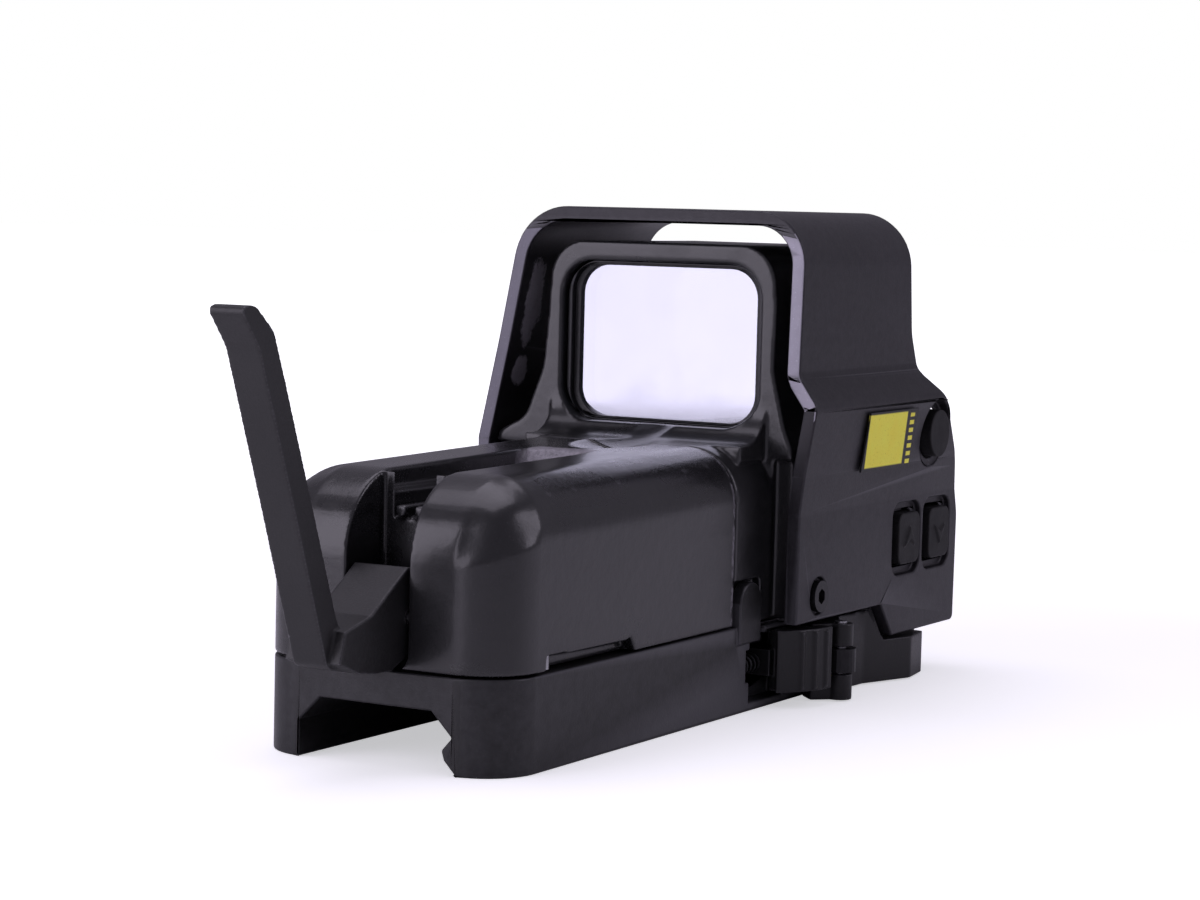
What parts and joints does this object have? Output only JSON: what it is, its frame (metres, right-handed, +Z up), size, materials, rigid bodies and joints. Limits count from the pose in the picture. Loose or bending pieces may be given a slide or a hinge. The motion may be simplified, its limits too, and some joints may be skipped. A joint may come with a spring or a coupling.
{
  "type": "window reflex sight",
  "caption": "Window-type reflex red dot sight with a sliding battery cap, a hood, push buttons, and a rail base with a quick-release lever.",
  "frame": {"origin": "middle of the rail groove's ceiling, below the middle of the sight's length", "axes": "+X towards the sight's left side with the buttons and clamp lever, -Y towards the front with the battery cap, +Z up"},
  "size_m": [0.0603, 0.1669, 0.0743],
  "materials": {
    "base_anodised": "black anodised, satin",
    "hood_anodised": "black anodised, satin, lighter machined edges",
    "moulding": "black moulding, semi-gloss",
    "lever_black": "matte black",
    "bezel": "matte black",
    "black_steel": "blackened steel",
    "steel": "plain",
    "contact_metal": "plain",
    "rubber": "matte",
    "glass": "coated, clear",
    "circuit_board": "solder mask",
    "cell_wrap": "printed wrap, no lettering",
    "label": "satin film"
  },
  "bodies": {
    "root": {"mount_base": "base_anodised", "base_screw_1": "black_steel", "base_screw_2": "black_steel", "base_screw_3": "black_steel", "base_screw_4": "black_steel", "lock_spring": "steel", "contact_board": "circuit_board", "contact_spring_a": "steel", "contact_spring_b": "steel", "cap_seal": "rubber", "main_housing": "moulding", "front_bezel": "bezel", "front_glass": "glass", "front_seal": "rubber", "rear_bezel": "bezel", "rear_glass": "glass", "rear_seal": "rubber", "circuit_board": "circuit_board", "emitter_carriage": "contact_metal", "emitter_module": "bezel", "emitter_lens": "glass", "hood": "hood_anodised", "hood_screw_left": "black_steel", "hood_screw_right": "black_steel", "label_plate": "label", "up_membrane": "rubber", "down_membrane": "rubber"},
    "cap": {"battery_cap": "moulding", "lever_pin": "steel", "tether_pin": "steel", "battery_a": "cell_wrap", "battery_b": "cell_wrap", "front_contact": "contact_metal"},
    "cap_lever": {"battery_lever": "lever_black"},
    "clamp": {"clamp_bolt": "black_steel", "clamp_jaw": "base_anodised", "clamp_nut": "black_steel", "qd_pin": "steel"},
    "clamp_lever": {"qd_lever": "base_anodised"},
    "lock": {"lever_lock": "base_anodised"},
    "up": {"up_button": "rubber"},
    "down": {"down_button": "rubber"},
    "night": {"night_button": "rubber"},
    "windage": {"windage_screw": "black_steel"},
    "elevation": {"elevation_screw": "black_steel"}
  },
  "joints": [
    {"name": "cap_slide", "type": "slide", "parent": "root", "child": "cap", "axis": [0, -1, 0], "range_m": [0, 0.06]},
    {"name": "cap_lever_hinge", "type": "hinge", "parent": "cap", "child": "cap_lever", "pos_m": [0, -0.0682, 0.0118], "axis": [-1, 0, 0], "range_deg": [0, 100]},
    {"name": "clamp_slide", "type": "slide", "parent": "root", "child": "clamp", "axis": [-1, 0, 0], "range_m": [0, 0.0012]},
    {"name": "clamp_lever_hinge", "type": "hinge", "parent": "clamp", "child": "clamp_lever", "pos_m": [0.0263, 0.0178, -0.002], "axis": [0, 0, -1], "range_deg": [0, 100]},
    {"name": "lock_slide", "type": "slide", "parent": "root", "child": "lock", "axis": [0, -1, 0], "range_m": [0, 0.0023], "stiffness_N_per_m": 300, "springref_m": -0.001, "deforming": ["lock_spring"]},
    {"name": "up_press", "type": "slide", "parent": "root", "child": "up", "axis": [-1, 0, 0], "range_m": [0, 0.0008], "stiffness_N_per_m": 900, "springref_m": -0.0004},
    {"name": "down_press", "type": "slide", "parent": "root", "child": "down", "axis": [-1, 0, 0], "range_m": [0, 0.0008], "stiffness_N_per_m": 900, "springref_m": -0.0004},
    {"name": "night_press", "type": "slide", "parent": "root", "child": "night", "axis": [-1, 0, 0], "range_m": [0, 0.0008], "stiffness_N_per_m": 900, "springref_m": -0.0004},
    {"name": "windage_turn", "type": "hinge", "parent": "root", "child": "windage", "pos_m": [-0.03, 0.022, 0.017], "axis": [1, 0, 0], "continuous": true},
    {"name": "elevation_turn", "type": "hinge", "parent": "root", "child": "elevation", "pos_m": [-0.03, 0.036, 0.017], "axis": [1, 0, 0], "continuous": true}
  ],
  "couplings": [
    {"joint": "clamp_lever_hinge", "follows": "clamp_slide", "rad_per_m": 1454}
  ]
}
